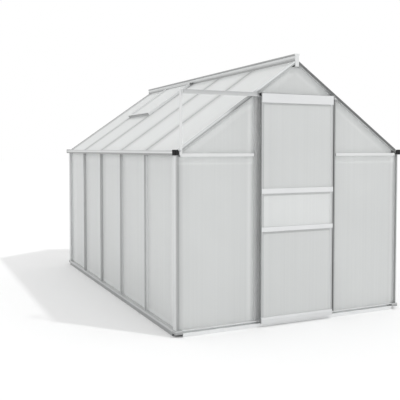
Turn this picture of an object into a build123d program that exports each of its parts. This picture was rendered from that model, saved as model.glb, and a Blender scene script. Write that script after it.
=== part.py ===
from build123d import *
import math
import os

# Walk-in garden greenhouse: aluminium bars, twin-wall sheets, a sliding door and a roof vent.
# Millimetres, +Z up. The origin is on the ground in the middle of the four anchor holes.
# The door gable faces -Y, and the vent is in the slope that faces -X.

# Overall sizes
frame_width = 1900.0  # across the outer faces of the side walls
bay_pitch = 600.0
bay_count = 5
post_inset = 20.0  # outer wall face to the line of the end posts
eave_height = 1224.0  # ground to the underside of the gutters
eave_step = 38.0  # gutter underside to the roof face above the post line
roof_rise = 651.0  # roof face from the post line to the ridge line

# Glazing
sheet_thickness = 4.0
sheet_clearance = 0.2  # each side of a sheet in its slot
sheet_edge_gap = 1.0  # sheet edge to the bottom of its slot
sheet_recess = 25.0  # wall and gable sheets behind the outer face of the bars

# Glazing bars
flange_width = 22.0
flange_thickness = 2.0
web_thickness = 3.0
nose_width = 10.0  # the part of a wall bar that stands in front of the sheets
roof_flange_width = 30.0
roof_bar_depth = 30.0
crossbar_height = 22.0

# Base rails and corners
base_height = 45.0
base_foot_height = 26.0
base_foot_projection = 6.0
base_flange_width = 40.0
base_flange_thickness = 3.0
base_wall = 2.5
base_bead_height = 4.0
base_bead_projection = 2.0
base_corner_lift = 20.0  # ground to the corner blocks
anchor_hole_radius = 4.5
anchor_hole_spacing_x = 1600.0
anchor_hole_depth = 18.0  # hole centre behind the wall face

# Corner posts
post_side = 50.0  # along the side wall
post_hold = 11.0  # depth of the sheet slots

# Gutters
gutter_projection = 22.0
gutter_inner_inset = 34.0  # wall face to the gutter's inner edge
gutter_height = 35.0
gutter_wall = 2.0
gutter_lip = 6.0
gutter_upstand_inset = 17.0
gutter_setback = 2.0  # gable face to the gutter's end
gutter_cap_width = 44.0
gutter_cap_height = 37.0
gutter_cap_thickness = 6.0
gutter_cap_rim = 2.0
gutter_seat_gap = 0.3  # upstand to the underside of the roof bars

# Gable rafters
rafter_face_width = 19.0
rafter_foot_inset = 26.0  # wall face to the rafter's foot

# Ridge beam
ridge_half_width = 15.7
ridge_wall = 2.5
ridge_below_face = 51.0
ridge_above_face = 27.5
ridge_cap_half_width = 20.0
ridge_cap_height = 14.0
ridge_cap_round = 5.0
ridge_end_cap_thickness = 3.0
bar_to_ridge_gap = 0.3

# Roof vent
vent_bay = 3  # bays counted from the door gable, the first is 0
vent_reach = 560.0  # down the slope, ridge line to the vent's lower edge
vent_frame_height = 24.0
vent_rail_width = 24.0
vent_side_width = 18.0
vent_start = 22.0  # down the slope, ridge line to the vent's upper edge
vent_seat_gap = 0.5
vent_slot_depth = 7.0
vent_wall = 2.5
vent_open_angle = 40.0
hinge_bead_radius = 4.0
hinge_clearance = 0.05
hinge_socket_wall = 2.5
hinge_bead_offset = 14.0  # bead centre from the middle of the ridge
hinge_neck = 3.0
sill_flange = 18.0

# Vent stay
stay_width = 12.0
stay_thickness = 3.0
stay_pin_radius = 3.0
stay_pin_clearance = 0.05
stay_pivot_setback = 21.0  # pivot to the inner face of the vent's lower rail
stay_pivot_height = 3.0  # pivot above the roof face
stay_ear_thickness = 3.0
stay_ear_gap = 0.3
stay_ear_margin = 7.0
stay_hole_radius = 3.5
stay_hole_pitch = 60.0
stay_hole_count = 3
stay_end = 8.0  # last hole to the end of the stay
peg_setback = 16.0  # peg to the upper edge of the sill
peg_drop = 14.0  # peg below the roof face
peg_plate_thickness = 3.0

# Door
door_width = 610.0
door_ground_gap = 26.0
door_head_height = 65.0
door_head_gap = 6.0  # head rail below the top of the track
door_head_depth = 12.0
door_bottom_height = 45.0
door_stile_width = 20.0
door_stile_face = 10.0
door_stile_depth = 14.0
door_rail_projection = 3.0  # rails in front of the stiles
door_slot_depth = 8.0
door_wall = 2.5
lower_mid_rail_bottom = 682.0
lower_mid_rail_height = 32.0
upper_mid_rail_bottom = 952.0
upper_mid_rail_height = 36.0
door_post_gap = 34.0  # door edge to the middle of the door post
jamb_reach = 62.0  # middle of the door post to the jamb's edge behind the door
door_track_gap = 3.0  # head rail's lower part to the track

# Door track and rollers
header_drop = 248.0  # ridge line of the roof face to the top of the header
track_height = 28.0
track_depth = 14.0
track_wall = 2.0
track_lip_height = 5.0
track_hood = 8.0
track_end_margin = 3.0  # right stop to the end of the track
track_stop_length = 10.0
track_stop_height = 20.0
track_stop_gap = 2.0  # right stop to the roller when the door is shut
roller_width = 6.0
roller_groove_radius = 9.0
roller_groove_width = 4.0
roller_flange_radius = 11.0
roller_running_gap = 0.3
roller_offset = 1.5  # roller axis outside the door's edge
roller_side_gap = 0.4
axle_radius = 3.0
axle_clearance = 0.05
hanger_thickness = 1.6
hanger_inside = 22.0  # hanger plate behind the head rail
hanger_outside = 13.0  # hanger plate past the door's edge
axle_end_radius = 5.0
axle_end = 1.6
strut_width = 20.0
strut_thickness = 3.0
strut_setback = 28.0  # wall face to the strut's outer edge

# Door guides in the base groove
guide_length = 40.0
guide_offset = 200.0
guide_plate_height = 24.0
guide_plate_thickness = 3.0
guide_tongue = 6.0
guide_groove_gap = 3.0
guide_reach = 4.0  # tongue past the wall face

# Bolts
bolt_radius = 3.0
bolt_hole_gap = 0.1
bolt_head_flats = 10.0
bolt_head_height = 4.0
bolt_tail = 9.0
track_bolt_spacing = 180.0
track_bolt_count = 4
track_bolt_drop = 4.0
hex_sides = 6
cut_through = 4  # length of a cutter over the wall that it passes

# Derived places
bolt_hole_radius = bolt_radius + bolt_hole_gap
half_width = frame_width / 2
half_length = bay_count * bay_pitch / 2 + post_inset
post_line = half_width - post_inset
ridge_face = eave_height + eave_step + roof_rise
pitch_tan = roof_rise / post_line
pitch = math.atan(pitch_tan)
pitch_cos = math.cos(pitch)
pitch_sin = math.sin(pitch)
slot_width = sheet_thickness + 2 * sheet_clearance
inner_flange = flange_thickness + slot_width
bar_back = inner_flange + flange_thickness
sheet_face = flange_thickness + sheet_clearance
wall_inner_flange = sheet_recess + slot_width
wall_back = wall_inner_flange + flange_thickness
wall_sheet_face = sheet_recess + sheet_clearance
sheet_hold = web_thickness / 2 + sheet_edge_gap
bar_lines = [(index + 1 - bay_count / 2) * bay_pitch for index in range(bay_count - 1)]
eave_slope = half_width / pitch_cos
ridge_stop = ridge_half_width + bar_to_ridge_gap
post_slot = post_side - post_hold
gable_slot = nose_width + sheet_edge_gap
crossbar_line = eave_height + gutter_wall + sheet_edge_gap
header_top = ridge_face - header_drop
header_bottom = header_top - track_height
header_line = header_top - track_height / 2
door_post_line = door_width / 2 + door_post_gap
rafter_foot = half_width - rafter_foot_inset
gutter_outer = half_width + gutter_projection
gutter_inner = half_width - gutter_inner_inset


def roof_face(across):
    """Height of the roof face at a distance from the middle."""
    return ridge_face - across * pitch_tan


def under_roof(across, depth):
    """Height of the plane that lies a depth below the roof face."""
    return roof_face(across) - depth / pitch_cos


def across_at(height, depth):
    """Distance from the middle where a plane below the roof face has a height."""
    return (ridge_face - depth / pitch_cos - height) / pitch_tan


def write_node(part, name):
    """Label a finished piece and write its file."""
    part.label = name
    export_step(part, f"parts/{name}.step")


def wall_plane(x, y, z, inward):
    """Plane for a section that stands on z, with its first axis into the wall."""
    return Plane(origin=(x, y, z), x_dir=inward, z_dir=(0, 0, 1))


def slope_section(y):
    """Plane across the left slope: first axis down the slope, second out of the roof."""
    return Plane(origin=(0, y, ridge_face), x_dir=(-pitch_cos, 0, -pitch_sin), z_dir=(0, 1, 0))


def roof_bar_section(flange, depth):
    """Roof bar section: two flanges with the sheet slots between them and a web."""
    with Locations((flange_thickness / 2, 0), (inner_flange + flange_thickness / 2, 0)):
        Rectangle(flange_thickness, flange)
    with Locations((depth / 2, 0)):
        Rectangle(depth, web_thickness)


def wall_bar_section(nose, flange):
    """Wall bar section: a box in front of the sheets, then two flanges and a web."""
    with Locations((sheet_recess / 2, 0)):
        Rectangle(sheet_recess, nose)
        Rectangle(sheet_recess - 2 * flange_thickness, nose - 2 * flange_thickness, mode=Mode.SUBTRACT)
    with Locations((sheet_recess - flange_thickness / 2, 0), (wall_back - flange_thickness / 2, 0)):
        Rectangle(flange_thickness, flange)
    with Locations((sheet_recess + slot_width / 2, 0)):
        Rectangle(slot_width, web_thickness)


def trim_at_ridge():
    """Cut a piece of the left slope off at the side of the ridge beam."""
    with Locations((half_width - ridge_stop, 0, ridge_face)):
        Box(frame_width, cut_through * half_length, ridge_face, mode=Mode.SUBTRACT)


def span(low, high):
    """Middle and length of a stretch."""
    return (low + high) / 2, high - low


left_roof = Plane(
    origin=(0, 0, ridge_face),
    x_dir=(-pitch_cos, 0, -pitch_sin),
    z_dir=(-pitch_sin, 0, pitch_cos),
)
os.makedirs("parts", exist_ok=True)

# End rails: foot, open groove, bead that carries the bars, and a flange on the ground
rail_back = wall_back + sheet_edge_gap / 2
end_rail_outline = [
    (-base_foot_projection, 0),
    (base_flange_width - base_foot_projection, 0),
    (base_flange_width - base_foot_projection, base_flange_thickness),
    (base_wall - base_foot_projection, base_flange_thickness),
    (base_wall - base_foot_projection, base_foot_height - base_wall),
    (rail_back, base_foot_height - base_wall),
    (rail_back, base_height),
    (-base_bead_projection, base_height),
    (-base_bead_projection, base_height - base_bead_height),
    (rail_back - base_wall, base_height - base_bead_height),
    (rail_back - base_wall, base_foot_height),
    (-base_foot_projection, base_foot_height),
]
# Side rails: plain channels, open to the inside
side_rail_outline = [
    (-base_foot_projection, 0),
    (base_flange_width - base_foot_projection, 0),
    (base_flange_width - base_foot_projection, base_flange_thickness),
    (base_wall - base_foot_projection, base_flange_thickness),
    (base_wall - base_foot_projection, base_height - base_wall),
    (rail_back, base_height - base_wall),
    (rail_back, base_height),
    (-base_foot_projection, base_height),
]
front_rail_length = frame_width - 2 * post_side
side_rail_length = 2 * half_length - 2 * post_side
anchor_line = half_length - anchor_hole_depth

with BuildPart() as base_rail_front:
    with BuildSketch(
        Plane(origin=(-front_rail_length / 2, -half_length, 0), x_dir=(0, 1, 0), z_dir=(1, 0, 0))
    ):
        Polygon(*end_rail_outline, align=None)
    extrude(amount=front_rail_length)
    with Locations((-anchor_hole_spacing_x / 2, -anchor_line), (anchor_hole_spacing_x / 2, -anchor_line)):
        Cylinder(anchor_hole_radius, cut_through * base_flange_thickness, mode=Mode.SUBTRACT)
write_node(base_rail_front.part, "base_rail_front")

with BuildPart() as base_rail_rear:
    mirror(base_rail_front.part, about=Plane.XZ)
write_node(base_rail_rear.part, "base_rail_rear")

with BuildPart() as base_rail_left:
    with BuildSketch(
        Plane(origin=(-half_width, side_rail_length / 2, 0), x_dir=(1, 0, 0), z_dir=(0, -1, 0))
    ):
        Polygon(*side_rail_outline, align=None)
    extrude(amount=side_rail_length)
write_node(base_rail_left.part, "base_rail_left")

with BuildPart() as base_rail_right:
    mirror(base_rail_left.part, about=Plane.YZ)
write_node(base_rail_right.part, "base_rail_right")

# Corner blocks join the rails under the posts
block_middle, block_size = span(-base_foot_projection, post_side)
with BuildPart() as base_corners:
    with BuildSketch(wall_plane(-half_width, -half_length, base_corner_lift, (1, 0, 0))):
        with Locations((block_middle, block_middle)):
            Rectangle(block_size, block_size)
    extrude(amount=base_height - base_corner_lift)
    mirror(about=Plane.YZ)
    mirror(about=Plane.XZ)
write_node(base_corners.part, "base_corners")

# Corner posts: a narrow nose on the gable, a broad side, and a slot for a sheet on each
slot_front = sheet_recess - flange_thickness
with BuildPart() as corner_post_front_left:
    with BuildSketch(wall_plane(-half_width, -half_length, base_height, (1, 0, 0))):
        Polygon(
            (0, 0),
            (nose_width, 0),
            (nose_width, slot_front),
            (nose_width + post_hold, slot_front),
            (nose_width + post_hold, sheet_recess),
            (gable_slot, sheet_recess),
            (gable_slot, wall_inner_flange),
            (wall_back, wall_inner_flange),
            (wall_back, post_side),
            (wall_inner_flange, post_side),
            (wall_inner_flange, post_slot),
            (sheet_recess, post_slot),
            (sheet_recess, post_side),
            (slot_front, post_side),
            (slot_front, post_slot),
            (nose_width, post_slot),
            (nose_width, post_side),
            (0, post_side),
            align=None,
        )
    extrude(amount=eave_height - base_height)
write_node(corner_post_front_left.part, "corner_post_front_left")

with BuildPart() as corner_post_front_right:
    mirror(corner_post_front_left.part, about=Plane.YZ)
write_node(corner_post_front_right.part, "corner_post_front_right")

with BuildPart() as corner_post_rear_left:
    mirror(corner_post_front_left.part, about=Plane.XZ)
write_node(corner_post_rear_left.part, "corner_post_rear_left")

with BuildPart() as corner_post_rear_right:
    mirror(corner_post_front_right.part, about=Plane.XZ)
write_node(corner_post_rear_right.part, "corner_post_rear_right")

# Side wall bars and sheets
wall_top = eave_height - sheet_clearance
wall_bottom = base_height + sheet_clearance
with BuildPart() as wall_bars_left:
    for line in bar_lines:
        with BuildSketch(wall_plane(-half_width, line, base_height, (1, 0, 0))):
            wall_bar_section(nose_width, flange_width)
        extrude(amount=eave_height - base_height)
write_node(wall_bars_left.part, "wall_bars_left")

with BuildPart() as wall_bars_right:
    mirror(wall_bars_left.part, about=Plane.YZ)
write_node(wall_bars_right.part, "wall_bars_right")

sheet_end = half_length - post_slot - sheet_edge_gap
bay_edges = [-sheet_end - sheet_hold] + bar_lines + [sheet_end + sheet_hold]
with BuildPart() as wall_sheets_left:
    with BuildSketch(Plane.YZ.offset(wall_sheet_face - half_width)):
        for start, stop in zip(bay_edges[:-1], bay_edges[1:]):
            middle, width = span(start + sheet_hold, stop - sheet_hold)
            rise, height = span(wall_bottom, wall_top)
            with Locations((middle, rise)):
                Rectangle(width, height)
    extrude(amount=sheet_thickness)
write_node(wall_sheets_left.part, "wall_sheets_left")

with BuildPart() as wall_sheets_right:
    mirror(wall_sheets_left.part, about=Plane.YZ)
write_node(wall_sheets_right.part, "wall_sheets_right")

# Gutters and their end caps
upstand = half_width - gutter_upstand_inset
upstand_top = under_roof(upstand, bar_back) - gutter_seat_gap
gutter_length = 2 * (half_length - gutter_setback)
with BuildPart() as gutter_left:
    with BuildSketch(Plane.XZ.offset(gutter_length / 2)):
        Polygon(
            (-gutter_inner, eave_height),
            (-gutter_outer, eave_height),
            (-gutter_outer, eave_height + gutter_height),
            (-gutter_outer + gutter_lip, eave_height + gutter_height),
            (-gutter_outer + gutter_lip, eave_height + gutter_height - gutter_wall),
            (-gutter_outer + gutter_wall, eave_height + gutter_height - gutter_wall),
            (-gutter_outer + gutter_wall, eave_height + gutter_wall),
            (-upstand, eave_height + gutter_wall),
            (-upstand, upstand_top),
            (-upstand + gutter_wall, upstand_top),
            (-upstand + gutter_wall, eave_height + gutter_wall),
            (-gutter_inner, eave_height + gutter_wall),
            align=None,
        )
    extrude(amount=-gutter_length)
write_node(gutter_left.part, "gutter_left")

with BuildPart() as gutter_right:
    mirror(gutter_left.part, about=Plane.YZ)
write_node(gutter_right.part, "gutter_right")

cap_middle = gutter_outer + gutter_cap_rim - gutter_cap_width / 2
cap_height_middle = eave_height + gutter_cap_rim + gutter_cap_height / 2
with BuildPart() as gutter_end_caps:
    with BuildSketch(Plane.XZ.offset(gutter_length / 2)):
        with Locations((-cap_middle, cap_height_middle)):
            Rectangle(gutter_cap_width, gutter_cap_height)
    extrude(amount=gutter_cap_thickness)
    chamfer(gutter_end_caps.faces().sort_by(Axis.Y)[0].edges(), length=gutter_cap_rim)
    mirror(about=Plane.YZ)
    mirror(about=Plane.XZ)
write_node(gutter_end_caps.part, "gutter_end_caps")

# Ridge beam: hollow box with a hinge socket along each side and a rounded cap
ridge_bottom = ridge_face - ridge_below_face
ridge_shoulder = ridge_face + ridge_above_face
vent_middle_out = vent_seat_gap + vent_frame_height / 2
bead_height = roof_face(hinge_bead_offset) + vent_middle_out / pitch_cos
socket_radius = hinge_bead_radius + hinge_clearance
ridge_middle, ridge_box = span(ridge_bottom, ridge_shoulder)
with BuildPart() as ridge_beam:
    with BuildSketch(Plane.XZ.offset(half_length)):
        with Locations((0, ridge_middle)):
            Rectangle(2 * ridge_half_width, ridge_box)
            Rectangle(2 * ridge_half_width - 2 * ridge_wall, ridge_box - 2 * ridge_wall, mode=Mode.SUBTRACT)
        with Locations((-hinge_bead_offset, bead_height), (hinge_bead_offset, bead_height)):
            Circle(socket_radius + hinge_socket_wall)
        with Locations((0, ridge_middle)):
            Rectangle(2 * ridge_half_width, ridge_box, mode=Mode.INTERSECT)
        with Locations((-hinge_bead_offset, bead_height), (hinge_bead_offset, bead_height)):
            Circle(socket_radius, mode=Mode.SUBTRACT)
        with Locations((0, ridge_shoulder + ridge_cap_height / 2)):
            RectangleRounded(2 * ridge_cap_half_width, ridge_cap_height, ridge_cap_round)
    extrude(amount=-2 * half_length)
write_node(ridge_beam.part, "ridge_beam")

with BuildPart() as ridge_end_caps:
    with BuildSketch(Plane.XZ.offset(half_length)):
        with Locations((0, ridge_middle)):
            Rectangle(2 * ridge_half_width, ridge_box)
        with Locations((0, ridge_shoulder + ridge_cap_height / 2)):
            RectangleRounded(2 * ridge_cap_half_width, ridge_cap_height, ridge_cap_round)
    extrude(amount=ridge_end_cap_thickness)
    mirror(about=Plane.XZ)
write_node(ridge_end_caps.part, "ridge_end_caps")

# Gable rafters: a face on the gable, slots for the roof sheet and the gable sheet
with BuildPart() as gable_rafter:
    with BuildSketch(
        Plane(
            origin=(0, -half_length, ridge_face),
            x_dir=(0, 1, 0),
            z_dir=(-pitch_cos, 0, -pitch_sin),
        )
    ):
        with Locations((flange_thickness / 2, rafter_face_width / 2)):
            Rectangle(flange_thickness, rafter_face_width)
        with Locations(
            (wall_back / 2, flange_thickness / 2),
            (wall_back / 2, inner_flange + flange_thickness / 2),
        ):
            Rectangle(wall_back, flange_thickness)
        with Locations((sheet_recess / 2, rafter_face_width - flange_thickness / 2)):
            Rectangle(sheet_recess, flange_thickness)
        wall_middle, wall_height = span(inner_flange, rafter_face_width)
        with Locations(
            (sheet_recess - flange_thickness / 2, wall_middle),
            (wall_back - flange_thickness / 2, wall_middle),
        ):
            Rectangle(flange_thickness, wall_height)
    extrude(amount=eave_slope)
    trim_at_ridge()
    with Locations((-half_width - rafter_foot, -half_length, eave_height)):
        Box(frame_width, frame_width, ridge_face, mode=Mode.SUBTRACT)

# The bolt of the track's strut passes through the left rafter of the door gable
track_left_end = half_width - strut_setback - strut_width
strut_bolt_across = track_left_end + strut_width - 2 * bolt_radius
strut_bolt_height = under_roof(strut_bolt_across, (rafter_face_width + bar_back) / 2)
strut_bolt_place = Location((-strut_bolt_across, -half_length, strut_bolt_height), (90, 0, 0))
with BuildPart() as front_rafter_left:
    add(gable_rafter.part)
    with Locations(strut_bolt_place):
        Cylinder(bolt_hole_radius, cut_through * wall_back, mode=Mode.SUBTRACT)
write_node(front_rafter_left.part, "front_rafter_left")

with BuildPart() as front_rafter_right:
    mirror(gable_rafter.part, about=Plane.YZ)
write_node(front_rafter_right.part, "front_rafter_right")

with BuildPart() as rear_rafter_left:
    mirror(gable_rafter.part, about=Plane.XZ)
write_node(rear_rafter_left.part, "rear_rafter_left")

with BuildPart() as rear_rafter_right:
    mirror(front_rafter_right.part, about=Plane.XZ)
write_node(rear_rafter_right.part, "rear_rafter_right")

# Gable posts, crossbars and headers
gable_front = -half_length
with BuildPart() as rear_post_left:
    with BuildSketch(wall_plane(-door_post_line, half_length, base_height, (0, -1, 0))):
        wall_bar_section(nose_width, flange_width)
    extrude(amount=header_bottom - base_height)
write_node(rear_post_left.part, "rear_post_left")

with BuildPart() as rear_post_right:
    mirror(rear_post_left.part, about=Plane.YZ)
write_node(rear_post_right.part, "rear_post_right")

# The door posts have a jamb that reaches behind the edge of the door
with BuildPart() as door_post_left:
    mirror(rear_post_left.part, about=Plane.XZ)
    with BuildSketch(wall_plane(-door_post_line, gable_front, base_height, (0, 1, 0))):
        with Locations((slot_front + flange_thickness / 2, -jamb_reach / 2)):
            Rectangle(flange_thickness, jamb_reach)
    extrude(amount=header_bottom - base_height)
write_node(door_post_left.part, "door_post_left")

with BuildPart() as door_post_right:
    mirror(door_post_left.part, about=Plane.YZ)
write_node(door_post_right.part, "door_post_right")

crossbar_end = gutter_inner - sheet_edge_gap
crossbar_length = crossbar_end - door_post_line - flange_width / 2
middle_bar_length = 2 * door_post_line - flange_width


def gable_section(x, z):
    """Plane across a bar that lies along X in the door gable."""
    return Plane(origin=(x, gable_front, z), x_dir=(0, 1, 0), z_dir=(1, 0, 0))


def rear_section(x, z):
    """Plane across a bar that lies along X in the rear gable."""
    return Plane(origin=(x, half_length, z), x_dir=(0, -1, 0), z_dir=(1, 0, 0))


with BuildPart() as front_crossbars:
    with BuildSketch(gable_section(-crossbar_end, crossbar_line)):
        wall_bar_section(crossbar_height, crossbar_height)
    extrude(amount=crossbar_length)
    mirror(about=Plane.YZ)
write_node(front_crossbars.part, "front_crossbars")

with BuildPart() as rear_crossbars:
    mirror(front_crossbars.part, about=Plane.XZ)
    with BuildSketch(rear_section(-middle_bar_length / 2, crossbar_line)):
        wall_bar_section(crossbar_height, crossbar_height)
    extrude(amount=middle_bar_length)
write_node(rear_crossbars.part, "rear_crossbars")

header_low_reach = across_at(header_bottom, rafter_face_width) - sheet_clearance
header_top_reach = across_at(header_top, rafter_face_width) - sheet_clearance
bolt_line = header_line - track_bolt_drop
first_bolt = -track_bolt_spacing * (track_bolt_count - 1) / 2
bolt_places = [first_bolt + index * track_bolt_spacing for index in range(track_bolt_count)]
track_bolt_places = [Location((place, gable_front, bolt_line), (90, 0, 0)) for place in bolt_places]
with BuildPart() as rear_header:
    with BuildSketch(rear_section(-header_low_reach, header_line)):
        wall_bar_section(track_height, track_height)
    extrude(amount=2 * header_low_reach)
    with BuildSketch(Plane.XZ.offset(-half_length)):
        Polygon(
            (-header_low_reach, header_bottom),
            (header_low_reach, header_bottom),
            (header_top_reach, header_top),
            (-header_top_reach, header_top),
            align=None,
        )
    extrude(amount=wall_back, mode=Mode.INTERSECT)
write_node(rear_header.part, "rear_header")

with BuildPart() as door_header:
    mirror(rear_header.part, about=Plane.XZ)
    with Locations(*track_bolt_places):
        Cylinder(bolt_hole_radius, cut_through * wall_back, mode=Mode.SUBTRACT)
write_node(door_header.part, "door_header")

# Gable sheets
slant_depth = bar_back + sheet_edge_gap / 2
lower_top = wall_top
upper_bottom = crossbar_line + sheet_hold
upper_top = header_line - sheet_hold
side_outer = half_width - gable_slot - sheet_edge_gap
upper_outer = half_width - post_side
side_inner = door_post_line + sheet_hold
apex_bottom = header_line + sheet_hold
apex_top = ridge_bottom - sheet_edge_gap / 2
with BuildPart() as front_gable_sheets:
    with BuildSketch(Plane.XZ.offset(half_length - wall_sheet_face)):
        middle, width = span(-side_outer, -side_inner)
        rise, height = span(wall_bottom, lower_top)
        with Locations((middle, rise), (-middle, rise)):
            Rectangle(width, height)
        for side in (-1, 1):
            Polygon(
                (side * upper_outer, upper_bottom),
                (side * side_inner, upper_bottom),
                (side * side_inner, upper_top),
                (side * across_at(upper_top, slant_depth), upper_top),
                (side * upper_outer, under_roof(upper_outer, slant_depth)),
                align=None,
            )
        Polygon(
            (-across_at(apex_bottom, slant_depth), apex_bottom),
            (across_at(apex_bottom, slant_depth), apex_bottom),
            (across_at(apex_top, slant_depth), apex_top),
            (-across_at(apex_top, slant_depth), apex_top),
            align=None,
        )
    extrude(amount=-sheet_thickness)
write_node(front_gable_sheets.part, "front_gable_sheets")

with BuildPart() as rear_gable_sheets:
    mirror(front_gable_sheets.part, about=Plane.XZ)
    with BuildSketch(Plane.XZ.offset(wall_sheet_face - half_length)):
        width = 2 * (door_post_line - sheet_hold)
        for low, high in ((wall_bottom, lower_top), (upper_bottom, upper_top)):
            rise, height = span(low, high)
            with Locations((0, rise)):
                Rectangle(width, height)
    extrude(amount=sheet_thickness)
write_node(rear_gable_sheets.part, "rear_gable_sheets")

# Roof bars and sheets
vent_inner_end = vent_reach - vent_rail_width
sill_line = vent_inner_end + sill_flange / 2
web_reach = (gutter_inner - post_inset) / pitch_cos
roof_edge = half_length - flange_thickness - sheet_edge_gap
roof_edges = [-roof_edge - sheet_hold] + bar_lines + [roof_edge + sheet_hold]
roof_bays = list(zip(roof_edges[:-1], roof_edges[1:]))


def roof_bar_plane(line):
    """Plane across a bar of the left slope, with its first axis into the roof."""
    return Plane(
        origin=(0, line, ridge_face),
        x_dir=(pitch_sin, 0, -pitch_cos),
        z_dir=(-pitch_cos, 0, -pitch_sin),
    )


def roof_sheet_layout(open_bay):
    """Outlines of the sheets of one slope; the open bay starts at the vent sill."""
    for index, (start, stop) in enumerate(roof_bays):
        first = sill_line + sheet_hold if index == open_bay else 0
        run, length = span(first, eave_slope)
        place, width = span(start + sheet_hold, stop - sheet_hold)
        with Locations((run, -place)):
            Rectangle(length, width)


with BuildPart() as roof_bars_left:
    for line in bar_lines:
        with BuildSketch(roof_bar_plane(line)):
            roof_bar_section(roof_flange_width, bar_back)
        extrude(amount=eave_slope)
        with BuildSketch(roof_bar_plane(line)):
            with Locations(((bar_back + roof_bar_depth) / 2, 0)):
                Rectangle(roof_bar_depth - bar_back, web_thickness)
        extrude(amount=web_reach)
    trim_at_ridge()
write_node(roof_bars_left.part, "roof_bars_left")

with BuildPart() as roof_bars_right:
    mirror(roof_bars_left.part, about=Plane.YZ)
write_node(roof_bars_right.part, "roof_bars_right")

with BuildPart() as roof_sheets_left:
    with BuildSketch(left_roof.offset(-sheet_face - sheet_thickness)):
        roof_sheet_layout(vent_bay)
    extrude(amount=sheet_thickness)
    trim_at_ridge()
write_node(roof_sheets_left.part, "roof_sheets_left")

with BuildPart() as roof_sheets_right:
    with BuildSketch(left_roof.offset(-sheet_face - sheet_thickness)):
        roof_sheet_layout(None)
    extrude(amount=sheet_thickness)
    trim_at_ridge()
    mirror(about=Plane.YZ, mode=Mode.REPLACE)
write_node(roof_sheets_right.part, "roof_sheets_right")

# Roof vent: places down the slope and out of the roof face
vent_low_line = roof_edges[vent_bay]
vent_high_line = roof_edges[vent_bay + 1]
vent_middle, vent_bay_width = span(vent_low_line, vent_high_line)
vent_width = vent_bay_width + vent_side_width
bead_rise = bead_height - ridge_face
bead_along = hinge_bead_offset * pitch_cos - bead_rise * pitch_sin
bead_out = hinge_bead_offset * pitch_sin + bead_rise * pitch_cos
pivot_along = vent_inner_end - stay_pivot_setback
peg_along = vent_inner_end - peg_setback
open_turn = math.radians(vent_open_angle)
pivot_run = pivot_along - bead_along
pivot_lift = stay_pivot_height - bead_out
open_pivot_along = bead_along + pivot_run * math.cos(open_turn) - pivot_lift * math.sin(open_turn)
open_pivot_out = bead_out + pivot_run * math.sin(open_turn) + pivot_lift * math.cos(open_turn)
stay_reach = math.hypot(open_pivot_along - peg_along, open_pivot_out + peg_drop)
sill_start = vent_low_line + roof_flange_width / 2 + sheet_clearance
sill_length = vent_bay_width - roof_flange_width - 2 * sheet_clearance
ear_inner = stay_thickness / 2 + stay_ear_gap
ear_outer = ear_inner + stay_ear_thickness

with BuildPart() as vent_sill:
    with BuildSketch(slope_section(sill_start)):
        for depth in (0, inner_flange):
            with Locations((sill_line, -depth - flange_thickness / 2)):
                Rectangle(sill_flange, flange_thickness)
        with Locations((sill_line, -bar_back / 2)):
            Rectangle(web_thickness, bar_back)
    extrude(amount=sill_length)
    with BuildSketch(slope_section(vent_middle + ear_outer)):
        Polygon(
            (peg_along - stay_ear_margin, -peg_drop - stay_ear_margin),
            (sill_line, -peg_drop - stay_ear_margin),
            (sill_line, -bar_back),
            (peg_along - stay_ear_margin, -bar_back),
            align=None,
        )
    extrude(amount=peg_plate_thickness)
    with BuildSketch(slope_section(vent_middle + ear_outer)):
        with Locations((peg_along, -peg_drop)):
            Circle(stay_pin_radius)
    extrude(amount=-(ear_outer - ear_inner))
write_node(vent_sill.part, "vent_sill")

vent_side = vent_middle - vent_width / 2
cavity_height = vent_frame_height - 2 * vent_wall
cavity_width = vent_rail_width - vent_slot_depth - 2 * vent_wall
low_rail_length = vent_width - 2 * vent_side_width
with BuildPart() as vent_top_rail:
    with BuildSketch(slope_section(vent_side)):
        with Locations((vent_start + vent_rail_width / 2, vent_middle_out)):
            Rectangle(vent_rail_width, vent_frame_height)
        with Locations((vent_start + vent_wall + cavity_width / 2, vent_middle_out)):
            Rectangle(cavity_width, cavity_height, mode=Mode.SUBTRACT)
        with Locations((vent_start + vent_rail_width - vent_slot_depth / 2, vent_middle_out)):
            Rectangle(vent_slot_depth, slot_width, mode=Mode.SUBTRACT)
        with Locations((bead_along, bead_out)):
            Circle(hinge_bead_radius)
        neck_middle, neck_length = span(bead_along, vent_start)
        with Locations((neck_middle, bead_out)):
            Rectangle(neck_length, hinge_neck)
    extrude(amount=vent_width)
write_node(vent_top_rail.part, "vent_top_rail")

with BuildPart() as vent_bottom_rail:
    with BuildSketch(slope_section(vent_side + vent_side_width)):
        with Locations((vent_inner_end + vent_rail_width / 2, vent_middle_out)):
            Rectangle(vent_rail_width, vent_frame_height)
        with Locations((vent_reach - vent_wall - cavity_width / 2, vent_middle_out)):
            Rectangle(cavity_width, cavity_height, mode=Mode.SUBTRACT)
        with Locations((vent_inner_end + vent_slot_depth / 2, vent_middle_out)):
            Rectangle(vent_slot_depth, slot_width, mode=Mode.SUBTRACT)
    extrude(amount=low_rail_length)
    for start in (vent_middle + ear_inner, vent_middle - ear_outer):
        with BuildSketch(slope_section(start)):
            Polygon(
                (pivot_along - stay_ear_margin, stay_pivot_height - stay_ear_margin),
                (pivot_along + stay_ear_margin, stay_pivot_height - stay_ear_margin),
                (vent_inner_end, vent_seat_gap),
                (vent_inner_end, vent_middle_out - slot_width / 2),
                (pivot_along - stay_ear_margin, vent_middle_out - slot_width / 2),
                align=None,
            )
        extrude(amount=stay_ear_thickness)
    with BuildSketch(slope_section(vent_middle - ear_outer)):
        with Locations((pivot_along, stay_pivot_height)):
            Circle(stay_pin_radius)
    extrude(amount=2 * ear_outer)
write_node(vent_bottom_rail.part, "vent_bottom_rail")

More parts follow.
